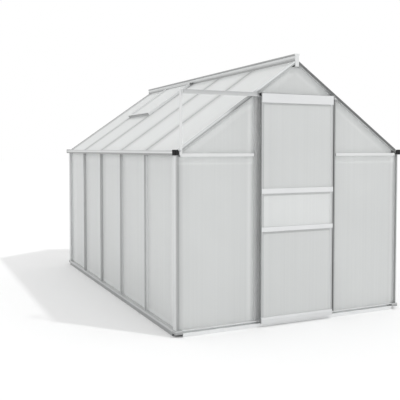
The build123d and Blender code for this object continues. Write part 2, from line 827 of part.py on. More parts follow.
side_start = vent_start + vent_rail_width
side_run, side_length = span(side_start, vent_reach)
side_offset = vent_bay_width / 2
with BuildPart() as vent_side_rails:
    with BuildSketch(left_roof.offset(vent_seat_gap)):
        with Locations((side_run, side_offset - vent_middle), (side_run, -side_offset - vent_middle)):
            Rectangle(side_length, vent_side_width)
    extrude(amount=vent_frame_height)
    slot_offset = side_offset - vent_side_width / 2 + vent_slot_depth / 2
    with BuildSketch(left_roof.offset(vent_middle_out - slot_width / 2)):
        with Locations((side_run, slot_offset - vent_middle), (side_run, -slot_offset - vent_middle)):
            Rectangle(side_length, vent_slot_depth)
    extrude(amount=slot_width, mode=Mode.SUBTRACT)
write_node(vent_side_rails.part, "vent_side_rails")

pane_hold = vent_slot_depth - sheet_edge_gap
pane_run, pane_length = span(side_start - pane_hold, vent_inner_end + pane_hold)
with BuildPart() as vent_pane:
    with BuildSketch(left_roof.offset(vent_middle_out - sheet_thickness / 2)):
        with Locations((pane_run, -vent_middle)):
            Rectangle(pane_length, low_rail_length + 2 * pane_hold)
    extrude(amount=sheet_thickness)
write_node(vent_pane.part, "vent_pane")

# Stay: a flat bar that lies under the pane when the vent is shut
stay_tip = pivot_along - stay_reach - stay_end
stay_run, stay_length = span(stay_tip, pivot_along + stay_width / 2)
with BuildPart() as vent_stay:
    with BuildSketch(slope_section(vent_middle - stay_thickness / 2)):
        with Locations((stay_run, stay_pivot_height)):
            SlotOverall(stay_length, stay_width)
        with Locations((pivot_along, stay_pivot_height)):
            Circle(stay_pin_radius + stay_pin_clearance, mode=Mode.SUBTRACT)
        for index in range(stay_hole_count):
            with Locations((pivot_along - stay_reach + index * stay_hole_pitch, stay_pivot_height)):
                Circle(stay_hole_radius, mode=Mode.SUBTRACT)
    extrude(amount=stay_thickness)
write_node(vent_stay.part, "vent_stay")

# Door track: a channel that is open to the front, with a lip that the rollers run on
track_back = gable_front - track_wall
track_front = gable_front - track_depth
roller_across = door_width / 2 + roller_offset
right_stop = roller_across + roller_flange_radius + track_stop_gap
track_right_end = right_stop + track_stop_length + track_end_margin
with BuildPart() as door_track:
    with BuildSketch(gable_section(-track_left_end, 0)):
        wall_middle, wall_height = span(header_bottom, header_top)
        with Locations((-track_wall / 2, wall_middle)):
            Rectangle(track_wall, wall_height)
        with Locations((-track_depth / 2, header_bottom + track_wall / 2)):
            Rectangle(track_depth, track_wall)
        with Locations((track_wall / 2 - track_depth, header_bottom + track_lip_height / 2)):
            Rectangle(track_wall, track_lip_height)
        with Locations((-track_hood / 2, header_top - track_wall / 2)):
            Rectangle(track_hood, track_wall)
    extrude(amount=track_left_end + track_right_end)
    with Locations(*track_bolt_places):
        Cylinder(bolt_hole_radius, cut_through * track_wall, mode=Mode.SUBTRACT)
write_node(door_track.part, "door_track")

# Strut under the free end of the track, with a tab that closes the channel
strut_foot = crossbar_line
with BuildPart() as track_strut:
    with BuildSketch(Plane.XZ.offset(half_length)):
        middle, width = span(-track_left_end - strut_width, -track_left_end)
        rise, height = span(strut_foot, header_top)
        with Locations((middle, rise)):
            Rectangle(width, height)
    extrude(amount=strut_thickness)
    with BuildSketch(Plane.XZ.offset(half_length + strut_thickness)):
        with Locations((-track_left_end - strut_thickness / 2, header_line)):
            Rectangle(strut_thickness, track_height)
    extrude(amount=track_depth - strut_thickness)
    with Locations(strut_bolt_place):
        Cylinder(bolt_hole_radius, cut_through * strut_thickness, mode=Mode.SUBTRACT)
write_node(track_strut.part, "track_strut")

roller_height = header_bottom + track_lip_height + roller_groove_radius + roller_running_gap
roller_middle = track_front + track_wall / 2
with BuildPart() as track_stops:
    with BuildSketch(Plane.XZ.offset(-track_back)):
        stop_rise = header_bottom + track_wall + track_stop_height / 2
        stop_places = (track_stop_length / 2 - track_left_end, right_stop + track_stop_length / 2)
        with Locations(*[(place, stop_rise) for place in stop_places]):
            Rectangle(track_stop_length, track_stop_height)
    extrude(amount=track_depth - 2 * track_wall)
write_node(track_stops.part, "track_stops")

# Bolts with their nuts: four through track and header, one through strut and rafter
bolt_face = [(place, bolt_line, track_wall) for place in bolt_places]
bolt_face.append((-strut_bolt_across, strut_bolt_height, strut_thickness))
bolt_head_radius = bolt_head_flats / math.sqrt(3)
with BuildPart() as track_bolts:
    for across, height, grip in bolt_face:
        with BuildSketch(Plane.XZ.offset(half_length + grip)):
            with Locations((across, height)):
                RegularPolygon(bolt_head_radius, hex_sides)
        extrude(amount=bolt_head_height)
        with BuildSketch(Plane.XZ.offset(half_length + grip)):
            with Locations((across, height)):
                Circle(bolt_radius)
        extrude(amount=-(grip + wall_back + bolt_tail))
        with BuildSketch(Plane.XZ.offset(half_length - wall_back)):
            with Locations((across, height)):
                RegularPolygon(bolt_head_radius, hex_sides)
        extrude(amount=-bolt_head_height)
write_node(track_bolts.part, "track_bolts")

# Door: places from the front face back to the gable
head_back = roller_middle - roller_width / 2 - roller_side_gap - hanger_thickness
door_front = head_back - door_head_depth
stile_front = door_front + door_rail_projection
stile_back = stile_front + door_stile_depth
door_sheet_line = stile_back - flange_thickness - slot_width / 2
door_edge = door_width / 2
stile_inner = door_edge - door_stile_width
door_head_top = header_top - door_head_gap
door_head_bottom = door_head_top - door_head_height
door_bottom_top = door_ground_gap + door_bottom_height
stile_slot = slot_width + 2 * flange_thickness

with BuildPart() as door_stile_left:
    with BuildSketch(Plane.XY.offset(door_bottom_top)):
        with Locations((-door_edge + door_stile_face / 2, (stile_front + stile_back) / 2)):
            Rectangle(door_stile_face, door_stile_depth)
        with Locations((-door_edge + door_stile_width / 2, door_sheet_line)):
            Rectangle(door_stile_width, stile_slot)
        with Locations((-stile_inner - door_slot_depth / 2, door_sheet_line)):
            Rectangle(door_slot_depth, slot_width, mode=Mode.SUBTRACT)
    extrude(amount=door_head_bottom - door_bottom_top)
write_node(door_stile_left.part, "door_stile_left")

with BuildPart() as door_stile_right:
    mirror(door_stile_left.part, about=Plane.YZ)
write_node(door_stile_right.part, "door_stile_right")


def door_section(x):
    """Plane across a door rail: first axis towards the gable, second up."""
    return Plane(origin=(x, 0, 0), x_dir=(0, 1, 0), z_dir=(1, 0, 0))


def door_block(front, back, low, high, mode=Mode.ADD):
    """Rectangle of a door rail's section, from its four sides."""
    middle, depth = span(front, back)
    rise, height = span(low, high)
    with Locations((middle, rise)):
        Rectangle(depth, height, mode=mode)


def door_slot(low, high):
    """Slot for a door sheet in a rail's section."""
    front = door_sheet_line - slot_width / 2
    door_block(front, front + slot_width, low, high, Mode.SUBTRACT)


head_step = header_bottom - door_track_gap
with BuildPart() as door_head_rail:
    with BuildSketch(door_section(-door_edge)):
        door_block(door_front, stile_back, door_head_bottom, head_step)
        door_block(door_front, head_back, head_step, door_head_top)
        door_slot(door_head_bottom, door_head_bottom + door_slot_depth)
        door_block(
            door_front + door_wall,
            head_back - door_wall,
            door_head_bottom + door_slot_depth + door_wall,
            door_head_top - door_wall,
            Mode.SUBTRACT,
        )
    extrude(amount=door_width)
write_node(door_head_rail.part, "door_head_rail")

with BuildPart() as door_bottom_rail:
    with BuildSketch(door_section(-door_edge)):
        door_block(door_front, stile_back, door_ground_gap, door_bottom_top)
        door_slot(door_bottom_top - door_slot_depth, door_bottom_top)
        door_block(
            door_front + door_wall,
            stile_back - door_wall,
            door_ground_gap + door_wall,
            door_bottom_top - door_slot_depth - door_wall,
            Mode.SUBTRACT,
        )
    extrude(amount=door_width)
write_node(door_bottom_rail.part, "door_bottom_rail")

mid_rails = {
    "door_mid_rail_lower": (lower_mid_rail_bottom, lower_mid_rail_height),
    "door_mid_rail_upper": (upper_mid_rail_bottom, upper_mid_rail_height),
}
for mid_rail_name, (rail_low, rail_height) in mid_rails.items():
    rail_high = rail_low + rail_height
    with BuildPart() as door_mid_rail:
        with BuildSketch(door_section(-door_edge)):
            door_block(door_front, stile_front, rail_low, rail_high)
        extrude(amount=door_width)
        with BuildSketch(door_section(-stile_inner)):
            door_block(stile_front, stile_back, rail_low, rail_high)
            door_slot(rail_low, rail_low + door_slot_depth)
            door_slot(rail_high - door_slot_depth, rail_high)
            door_block(
                stile_front + door_wall,
                stile_back - door_wall,
                rail_low + door_slot_depth + door_wall,
                rail_high - door_slot_depth - door_wall,
                Mode.SUBTRACT,
            )
        extrude(amount=2 * stile_inner)
    write_node(door_mid_rail.part, mid_rail_name)

door_hold = door_slot_depth - sheet_edge_gap
lower_mid_rail_top = lower_mid_rail_bottom + lower_mid_rail_height
upper_mid_rail_top = upper_mid_rail_bottom + upper_mid_rail_height
door_panes = {
    "door_sheet_lower": (door_bottom_top, lower_mid_rail_bottom),
    "door_sheet_middle": (lower_mid_rail_top, upper_mid_rail_bottom),
    "door_sheet_upper": (upper_mid_rail_top, door_head_bottom),
}
for pane_name, (pane_low, pane_high) in door_panes.items():
    with BuildPart() as door_sheet:
        with BuildSketch(Plane.XZ.offset(sheet_thickness / 2 - door_sheet_line)):
            rise, height = span(pane_low - door_hold, pane_high + door_hold)
            with Locations((0, rise)):
                Rectangle(2 * (stile_inner + door_hold), height)
        extrude(amount=-sheet_thickness)
    write_node(door_sheet.part, pane_name)

# Hangers on the head rail carry the axles of the rollers
hanger_back = head_back + hanger_thickness
axle_reach = roller_width + 2 * roller_side_gap
with BuildPart() as door_hangers:
    with BuildSketch(Plane.XZ.offset(-head_back)):
        middle, width = span(-door_edge - hanger_outside, -door_edge + hanger_inside)
        with Locations((middle, roller_height)):
            Rectangle(width, 2 * roller_flange_radius)
    extrude(amount=-hanger_thickness)
    with BuildSketch(Plane.XZ.offset(-hanger_back)):
        with Locations((-roller_across, roller_height)):
            Circle(axle_radius)
    extrude(amount=-axle_reach)
    with BuildSketch(Plane.XZ.offset(-hanger_back - axle_reach)):
        with Locations((-roller_across, roller_height)):
            Circle(axle_end_radius)
    extrude(amount=-axle_end)
    mirror(about=Plane.YZ)
write_node(door_hangers.part, "door_hangers")

roller_half = roller_width / 2
groove_half = roller_groove_width / 2
for roller_name, side in (("door_roller_left", -1), ("door_roller_right", 1)):
    with BuildPart() as door_roller:
        with BuildSketch(wall_plane(side * roller_across, roller_middle, roller_height, (1, 0, 0))):
            Polygon(
                (axle_radius + axle_clearance, -roller_half),
                (roller_flange_radius, -roller_half),
                (roller_flange_radius, -groove_half),
                (roller_groove_radius, -groove_half),
                (roller_groove_radius, groove_half),
                (roller_flange_radius, groove_half),
                (roller_flange_radius, roller_half),
                (axle_radius + axle_clearance, roller_half),
                align=None,
            )
        revolve(axis=Axis((side * roller_across, roller_middle, roller_height), (0, 1, 0)))
    write_node(door_roller.part, roller_name)

# Guides on the bottom rail run in the groove of the front base rail
tongue_low = base_foot_height + guide_groove_gap
with BuildPart() as door_guides:
    for place in (-guide_offset, guide_offset):
        with BuildSketch(door_section(place - guide_length / 2)):
            door_block(
                stile_back,
                stile_back + guide_plate_thickness,
                tongue_low,
                tongue_low + guide_plate_height,
            )
            door_block(stile_back, gable_front + guide_reach, tongue_low, tongue_low + guide_tongue)
        extrude(amount=guide_length)
write_node(door_guides.part, "door_guides")
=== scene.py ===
"""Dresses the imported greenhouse: metal and sheet finishes, moulded caps, studio light and camera."""

import logging
import math
from dataclasses import dataclass
from enum import Enum
from functools import cache, partial, reduce
from operator import or_
from typing import Protocol

import bmesh
import bpy
from mathutils import Matrix, Vector


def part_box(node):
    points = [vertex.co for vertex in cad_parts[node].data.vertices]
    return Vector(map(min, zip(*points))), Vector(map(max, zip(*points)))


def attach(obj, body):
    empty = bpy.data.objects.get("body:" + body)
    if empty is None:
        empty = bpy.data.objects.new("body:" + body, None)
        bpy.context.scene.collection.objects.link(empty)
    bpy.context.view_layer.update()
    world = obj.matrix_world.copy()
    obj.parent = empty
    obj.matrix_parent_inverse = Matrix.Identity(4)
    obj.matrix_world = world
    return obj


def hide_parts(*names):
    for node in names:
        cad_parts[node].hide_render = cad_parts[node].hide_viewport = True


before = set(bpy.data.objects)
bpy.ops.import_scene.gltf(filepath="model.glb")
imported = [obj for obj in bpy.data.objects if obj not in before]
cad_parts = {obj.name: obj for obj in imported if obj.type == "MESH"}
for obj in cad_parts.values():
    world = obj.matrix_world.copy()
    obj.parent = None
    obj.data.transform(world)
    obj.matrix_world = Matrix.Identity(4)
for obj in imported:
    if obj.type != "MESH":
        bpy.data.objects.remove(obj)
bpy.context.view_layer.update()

MILLIMETRE = 0.001

# Rise and run of a roof slope, and the height at which the planes of both slopes meet over the middle.
ROOF_RISE = 0.651
ROOF_RUN = 0.930
ROOF_PITCH = math.atan2(ROOF_RISE, ROOF_RUN)
ROOF_APEX = 1.913

NOISE_MIDDLE = 0.5
SOFT_DETAIL = 2.0
FINE_DETAIL = 3.0

# Sockets of a Mix node that mixes colours.
MIX_FACTOR = 0
MIX_LOW = 6
MIX_HIGH = 7
MIX_RESULT = 2

ROUND_SEGMENTS = 3
ROUND_PROFILE = 0.5

Colour = tuple[float, float, float]
Point = tuple[float, float, float]
Span = tuple[float, float]

log = logging.getLogger("greenhouse")


class Run(Enum):
    """Direction of a bar's extrusion, as the turn that brings it onto the X axis."""

    ALONG_X = (0.0, 0.0, 0.0)
    ALONG_Y = (0.0, 0.0, -math.pi / 2)
    ALONG_Z = (0.0, math.pi / 2, 0.0)
    DOWN_LEFT = (0.0, ROOF_PITCH, 0.0)
    DOWN_RIGHT = (0.0, -ROOF_PITCH, 0.0)


class Axis(Enum):
    """Coordinate that a zone or the flutes of a sheet go by; SLOPE is the height square to the roof."""

    X = 0
    Y = 1
    Z = 2
    SLOPE = 3


class Slot(Enum):
    """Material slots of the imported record."""

    BLACK_PLASTIC = "black_plastic"


class Value:
    """A socket that takes part in Python expressions; each operator adds its Math node."""

    def __init__(self, graph: "Graph", socket: bpy.types.NodeSocket) -> None:
        """Keep the socket and the graph that it belongs to."""
        self.graph = graph
        self.socket = socket

    def _math(self, operation: str, first: "Value | float", second: "Value | float") -> "Value":
        """Add a Math node on two values."""
        return self.graph.node("ShaderNodeMath", {"operation": operation}, {0: first, 1: second})

    def __add__(self, other: "Value | float") -> "Value":
        """Sum of two values."""
        return self._math("ADD", self, other)

    def __radd__(self, other: float) -> "Value":
        """Sum with a number on the left."""
        return self._math("ADD", other, self)

    def __sub__(self, other: "Value | float") -> "Value":
        """Difference of two values."""
        return self._math("SUBTRACT", self, other)

    def __rsub__(self, other: float) -> "Value":
        """Difference from a number on the left."""
        return self._math("SUBTRACT", other, self)

    def __mul__(self, other: "Value | float") -> "Value":
        """Product of two values."""
        return self._math("MULTIPLY", self, other)

    def __rmul__(self, other: float) -> "Value":
        """Product with a number on the left."""
        return self._math("MULTIPLY", other, self)

    def __pow__(self, other: "Value | float") -> "Value":
        """Power of a value."""
        return self._math("POWER", self, other)

    def __abs__(self) -> "Value":
        """Size of a value without its sign."""
        return self._math("ABSOLUTE", self, 0.0)

    def __or__(self, other: "Value") -> "Value":
        """Larger of two masks."""
        return self._math("MAXIMUM", self, other)


@dataclass(frozen=True)
class Relief:
    """Strength and depth in metres of a bump."""

    strength: float
    depth: float


class Graph:
    """Node tree of one material or world."""

    def __init__(self, owner: bpy.types.Material | bpy.types.World) -> None:
        """Empty the owner's node tree.

        Args:
            owner: material or world that holds the nodes.
        """
        owner.use_nodes = True
        self.tree = owner.node_tree
        self.tree.nodes.clear()

    def add(
        self, kind: str, settings: dict[str, object], inputs: dict[int | str, object]
    ) -> bpy.types.Node:
        """Add a node.

        Args:
            kind: type name of the node.
            settings: properties of the node, set first.
            inputs: values or links of its sockets.

        Returns:
            The new node.
        """
        made = self.tree.nodes.new(kind)
        for name, setting in settings.items():
            setattr(made, name, setting)
        for key, value in inputs.items():
            if isinstance(value, Value):
                self.tree.links.new(value.socket, made.inputs[key])
            else:
                made.inputs[key].default_value = value
        return made

    def node(
        self,
        kind: str,
        settings: dict[str, object],
        inputs: dict[int | str, object],
        output: int | str = 0,
    ) -> Value:
        """Add a node and take one of its outputs.

        Args:
            kind: type name of the node.
            settings: properties of the node, set first.
            inputs: values or links of its sockets.
            output: socket that the result stands for.

        Returns:
            The chosen output, ready for expressions.
        """
        return Value(self, self.add(kind, settings, inputs).outputs[output])

    def place(self) -> Value:
        """Point of the surface in the object's own frame, in metres."""
        return self.node("ShaderNodeTexCoord", {}, {}, "Object")

    def scaled(self, vector: Value, scale: Point) -> Value:
        """Vector times a scale on each axis."""
        return self.node("ShaderNodeVectorMath", {"operation": "MULTIPLY"}, {0: vector, 1: scale})

    def part(self, vector: Value, axis: Axis) -> Value:
        """One coordinate of a vector."""
        return self.node("ShaderNodeSeparateXYZ", {}, {"Vector": vector}, axis.value)

    def shade(self, colour: Value, factor: Value) -> Value:
        """Colour made darker or lighter by a factor."""
        return self.node("ShaderNodeVectorMath", {"operation": "SCALE"}, {0: colour, "Scale": factor})

    def noise(self, vector: Value, scale: float, detail: float = SOFT_DETAIL) -> Value:
        """Noise from 0 to 1 at a point."""
        return self.node("ShaderNodeTexNoise", {}, {"Vector": vector, "Scale": scale, "Detail": detail})

    def blend(self, low: Colour, high: Colour, factor: Value) -> Value:
        """Mix two colours.

        Args:
            low: colour at a factor of 0.
            high: colour at a factor of 1.
            factor: place between the two.

        Returns:
            The mixed colour.
        """
        return self.node(
            "ShaderNodeMix",
            {"data_type": "RGBA", "clamp_factor": True},
            {MIX_FACTOR: factor, MIX_LOW: (*low, 1.0), MIX_HIGH: (*high, 1.0)},
            MIX_RESULT,
        )

    def bump(self, height: Value, relief: Relief) -> Value:
        """Normal that follows a height over the surface."""
        inputs = {"Strength": relief.strength, "Distance": relief.depth, "Height": height}
        return self.node("ShaderNodeBump", {}, inputs, "Normal")

    def surface(self, inputs: dict[int | str, object]) -> None:
        """Close a material with its Principled shader."""
        self.close("ShaderNodeOutputMaterial", self.node("ShaderNodeBsdfPrincipled", {}, inputs, "BSDF"))

    def close(self, kind: str, shader: Value) -> None:
        """Link a shader to the tree's output."""
        self.add(kind, {}, {"Surface": shader})


def new_graph(name: str) -> tuple[bpy.types.Material, Graph]:
    """Start a material.

    Args:
        name: name of the material.

    Returns:
        The material and its empty graph.
    """
    material = bpy.data.materials.new(name)
    return material, Graph(material)


@dataclass(frozen=True)
class Zone:
    """Box of painted shade or painted light, in which a finish is darker or lighter, in metres, on both sides
    of the middle planes if mirrored.

    The slope span is the height square to the roof's faces.
    """

    level: float
    x: Span | None = None
    y: Span | None = None
    z: Span | None = None
    slope: Span | None = None
    soft: float = 0.4 * MILLIMETRE
    mirrored: bool = True

    def factor(self, graph: Graph, place: Value) -> Value:
        """Work out the change of a colour.

        Args:
            graph: graph of the material.
            place: point of the surface.

        Returns:
            The level inside the box and 1 outside.
        """
        spans = {Axis.X: self.x, Axis.Y: self.y, Axis.Z: self.z, Axis.SLOPE: self.slope}
        outside = reduce(or_, (self.beyond(graph, place, axis, span) for axis, span in spans.items() if span))
        return self.level + outside * (1.0 - self.level)

    def beyond(self, graph: Graph, place: Value, axis: Axis, span: Span) -> Value:
        """Find out whether a point is past one of the spans.

        Args:
            graph: graph of the material.
            place: point of the surface.
            axis: coordinate that the span goes by.
            span: lowest and highest value.

        Returns:
            A mask, 0 within the span and 1 past it.
        """
        middle = (span[0] + span[1]) / 2
        half = (span[1] - span[0]) / 2
        away = abs(self.along(graph, place, axis) - middle)
        edge = {"From Min": half - self.soft / 2, "From Max": half + self.soft / 2}
        return graph.node("ShaderNodeMapRange", {"interpolation_type": "SMOOTHSTEP"}, {"Value": away, **edge})

    def along(self, graph: Graph, place: Value, axis: Axis) -> Value:
        """Find a point's coordinate for one of the spans.

        Args:
            graph: graph of the material.
            place: point of the surface.
            axis: coordinate to find.

        Returns:
            The coordinate; X, Y and Z lose their sign where the zone is mirrored.
        """
        if axis is Axis.SLOPE:
            rise = (graph.part(place, Axis.Z) - ROOF_APEX) * math.cos(ROOF_PITCH)
            return abs(graph.part(place, Axis.X)) * math.sin(ROOF_PITCH) + rise
        part = graph.part(place, axis)
        return abs(part) if self.mirrored else part


# A zone that is on one side of the middle planes only.
one_side = partial(Zone, mirrored=False)


def zoned(graph: Graph, place: Value, colour: Value, zones: tuple[Zone, ...]) -> Value:
    """Paint shade and light into a colour by every zone of a finish.

    Args:
        graph: graph of the material.
        place: point of the surface.
        colour: colour outside the zones.
        zones: zones of the finish.

    Returns:
        The shaded colour.
    """
    for zone in zones:
        colour = graph.shade(colour, zone.factor(graph, place))
    return colour


@dataclass(frozen=True)
class Aluminium:
    """Extruded aluminium with die lines along the bar, soft blotches, and zones of painted shade and painted
    light.
    """

    name: str
    dark: Colour
    light: Colour
    roughness: float
    zones: tuple[Zone, ...] = ()
    metallic: float = 0.5
    middle_tone: float = 0.5
    line_scale: float = 700.0
    run_scale: float = 0.7
    line_tone: float = 0.9
    line_roughness: float = 0.1
    line_relief: Relief = Relief(0.12, 0.2 * MILLIMETRE)
    blotch_scale: float = 7.0
    blotch_tone: float = 0.8
    blotch_roughness: float = 0.14

    @cache
    def material(self, run: Run) -> bpy.types.Material:
        """Make the finish for bars of one direction.

        Args:
            run: direction of the extrusion.

        Returns:
            The material.
        """
        material, graph = new_graph(f"{self.name}_{run.name.lower()}")
        place = graph.place()
        turned = graph.node("ShaderNodeMapping", {}, {"Vector": place, "Rotation": run.value})
        drawn = graph.scaled(turned, (self.run_scale, self.line_scale, self.line_scale))
        lines = graph.noise(drawn, 1.0)
        line_swing = lines - NOISE_MIDDLE
        blotch_swing = graph.noise(place, self.blotch_scale, FINE_DETAIL) - NOISE_MIDDLE
        tone = self.middle_tone + line_swing * self.line_tone + blotch_swing * self.blotch_tone
        rough = self.roughness + blotch_swing * self.blotch_roughness + line_swing * self.line_roughness
        graph.surface(
            {
                "Base Color": zoned(graph, place, graph.blend(self.dark, self.light, tone), self.zones),
                "Metallic": self.metallic,
                "Roughness": rough,
                "Normal": graph.bump(lines, self.line_relief),
            }
        )
        return material


@dataclass(frozen=True)
class TwinWallSheet:
    """Milky twin-wall polycarbonate with its ribs showing as fine lines, and zones of painted shade and
    painted light.
    """

    name: str
    dark: Colour
    light: Colour
    zones: tuple[Zone, ...] = ()
    roughness: float = 0.42
    transmission: float = 0.20
    refraction: float = 1.45
    middle_tone: float = 0.58
    flute_pitch: float = 5.7 * MILLIMETRE
    flute_relief: Relief = Relief(0.08, 0.3 * MILLIMETRE)
    rib_sharpness: float = 5.0
    rib_tone: float = 0.3
    streak_across: float = 70.0
    streak_along: float = 0.5
    streak_tone: float = 0.7
    cloud_scale: float = 1.7
    cloud_tone: float = 0.8
    cloud_roughness: float = 0.12

    @cache
    def material(self, across: Axis) -> bpy.types.Material:
        """Make the finish for sheets of one direction.

        Args:
            across: axis across the flutes.

        Returns:
            The material.
        """
        material, graph = new_graph(f"{self.name}_across_{across.name.lower()}")
        place = graph.place()
        turn = graph.part(place, across) * (2 * math.pi / self.flute_pitch)
        wave = graph.node("ShaderNodeMath", {"operation": "COSINE"}, {0: turn})
        rib = (wave * 0.5 + 0.5) ** self.rib_sharpness  # from 0 between two ribs to 1 on a rib
        axes = (Axis.X, Axis.Y, Axis.Z)
        stretch = tuple(self.streak_across if axis is across else self.streak_along for axis in axes)
        streak_swing = graph.noise(graph.scaled(place, stretch), 1.0, FINE_DETAIL) - NOISE_MIDDLE
        cloud_swing = graph.noise(place, self.cloud_scale) - NOISE_MIDDLE
        tone = self.middle_tone + streak_swing * self.streak_tone + cloud_swing * self.cloud_tone
        colour = graph.blend(self.dark, self.light, tone - rib * self.rib_tone)
        graph.surface(
            {
                "Base Color": zoned(graph, place, colour, self.zones),
                "Roughness": self.roughness + cloud_swing * self.cloud_roughness,
                "Transmission Weight": self.transmission,
                "IOR": self.refraction,
                "Normal": graph.bump(wave, self.flute_relief),
            }
        )
        return material


@dataclass(frozen=True)
class MouldedPlastic:
    """Moulded plastic with a fine grain, black unless told otherwise."""

    name: str
    dark: Colour = (0.006, 0.006, 0.0065)
    light: Colour = (0.02, 0.02, 0.021)
    roughness: float = 0.5
    specular: float = 0.25
    grain_scale: float = 1500.0
    grain_tone: float = 0.4
    grain_relief: Relief = Relief(0.2, 0.2 * MILLIMETRE)
    cloud_scale: float = 60.0
    cloud_tone: float = 0.6
    cloud_roughness: float = 0.2

    @cache
    def material(self) -> bpy.types.Material:
        """Make the finish.

        Returns:
            The material.
        """
        material, graph = new_graph(self.name)
        place = graph.place()
        grain = graph.noise(place, self.grain_scale, FINE_DETAIL)
        cloud = graph.noise(place, self.cloud_scale)
        tone = grain * self.grain_tone + cloud * self.cloud_tone
        graph.surface(
            {
                "Base Color": graph.blend(self.dark, self.light, tone),
                "Roughness": self.roughness + (cloud - NOISE_MIDDLE) * self.cloud_roughness,
                "Specular IOR Level": self.specular,
                "Normal": graph.bump(grain, self.grain_relief),
            }
        )
        return material


@dataclass(frozen=True)
class ZincSteel:
    """Plated steel with a faint spangle, zinc grey unless told otherwise."""

    name: str
    dark: Colour = (0.36, 0.37, 0.38)
    light: Colour = (0.58, 0.59, 0.60)
    roughness: float = 0.38
    spangle_scale: float = 400.0
    spangle_tone: float = 0.6
    spangle_relief: Relief = Relief(0.1, 0.1 * MILLIMETRE)
    cloud_scale: float = 120.0
    cloud_tone: float = 0.5
    cloud_roughness: float = 0.25

    @cache
    def material(self) -> bpy.types.Material:
        """Make the finish.

        Returns:
            The material.
        """
        material, graph = new_graph(self.name)
        place = graph.place()
        cells = {"Vector": place, "Scale": self.spangle_scale}
        spangle = graph.node("ShaderNodeTexVoronoi", {}, cells, "Distance")
        cloud = graph.noise(place, self.cloud_scale)
        tone = spangle * self.spangle_tone + cloud * self.cloud_tone
        graph.surface(
            {
                "Base Color": graph.blend(self.dark, self.light, tone),
                "Metallic": 1.0,
                "Roughness": self.roughness + (cloud - NOISE_MIDDLE) * self.cloud_roughness,
                "Normal": graph.bump(spangle, self.spangle_relief),
            }
        )
        return material


LEFT_POST_METAL = Aluminium(
    "left_post_aluminium",
    dark=(0.64, 0.65, 0.65),
    light=(0.73, 0.74, 0.74),
    roughness=0.42,
    zones=(Zone(0.66, x=(0.90, 0.9495)),),  # painted shade on the flanks behind the outer face
)
POST_METAL = Aluminium(
    "post_aluminium",
    dark=(0.63, 0.64, 0.64),
    light=(0.72, 0.73, 0.73),
    roughness=0.42,
    zones=(
        Zone(0.80, x=(0.90, 0.9495)),  # painted shade on the flanks behind the outer face
        one_side(1.50, x=(-0.936, -0.90), y=(-1.0, -0.8), soft=0.012),  # painted light on the inner part of the first left bar
        one_side(1.30, x=(-0.934, -0.90), y=(-0.4, -0.2), soft=0.012),  # painted light on the inner part of the second left bar
    ),
)
# Lighter base colour is painted light against the post's shadow.
CORNER_POST_METAL = Aluminium(
    "corner_post_aluminium",
    dark=(0.72, 0.73, 0.73),
    light=(0.80, 0.81, 0.81),
    roughness=0.42,
    zones=(Zone(0.50, y=(1.4985, 1.5195)),),  # painted shade on the flank behind the outer face
)
# Darker copy of the post aluminium: painted shade on the rear posts and rafters.
REAR_METAL = Aluminium(
    "rear_aluminium",
    dark=(0.62, 0.63, 0.63),
    light=(0.70, 0.71, 0.71),
    roughness=0.42,
    zones=(
        Zone(1.30, x=(0.90, 0.935), y=(1.40, 1.49), soft=0.012),  # painted light on the inner part of the posts
        Zone(0.45, slope=(-0.0012, 0.05)),  # painted shade along the top of the rafters
    ),
)
GABLE_METAL = Aluminium(
    "gable_aluminium",
    dark=(0.62, 0.63, 0.63),
    light=(0.72, 0.73, 0.73),
    roughness=0.42,
    zones=(Zone(0.45, y=(1.40, 1.5195)),),  # painted shade on the flanks behind the outer face
)
# Light base colour is painted light in the jamb's recess; its zones add painted shade and light.
JAMB_METAL = Aluminium(
    "jamb_aluminium",
    dark=(0.72, 0.73, 0.73),
    light=(0.80, 0.81, 0.81),
    roughness=0.45,
    zones=(
        Zone(0.52, y=(1.5195, 1.60)),  # painted shade on the outer face
        one_side(0.80, x=(-0.36, -0.3435), y=(-1.5195, -1.4975)),  # painted shade on the left side
        one_side(1.20, x=(-0.303, -0.26), soft=0.006),  # painted light on the edge toward the opening
    ),
)
# Dark base colour is painted shade on the right door post.
SHADED_JAMB_METAL = Aluminium(
    "shaded_jamb_aluminium",
    dark=(0.29, 0.295, 0.295),
    light=(0.35, 0.355, 0.355),
    roughness=0.45,
    zones=(Zone(2.0, x=(0.20, 0.3335)),),  # painted light on the part toward the opening
)
CROSS_METAL = Aluminium(
    "crossbar_aluminium", dark=(0.66, 0.67, 0.67), light=(0.76, 0.77, 0.77), roughness=0.40
)
# Dark base colour is painted shade on the left front rafter.
LEFT_RAFTER_METAL = Aluminium(
    "left_rafter_aluminium",
    dark=(0.35, 0.36, 0.36),
    light=(0.41, 0.42, 0.42),
    roughness=0.42,
    zones=(
        Zone(1.65, slope=(-0.009, 0.05), soft=0.004),  # painted highlight on the upper edge
        Zone(1.15, z=(1.68, 2.0), soft=0.02),  # painted light on the stretch up to the ridge
        Zone(0.62, z=(1.53, 1.67), soft=0.06),  # painted shadow of the track on the stretch below that
    ),
)
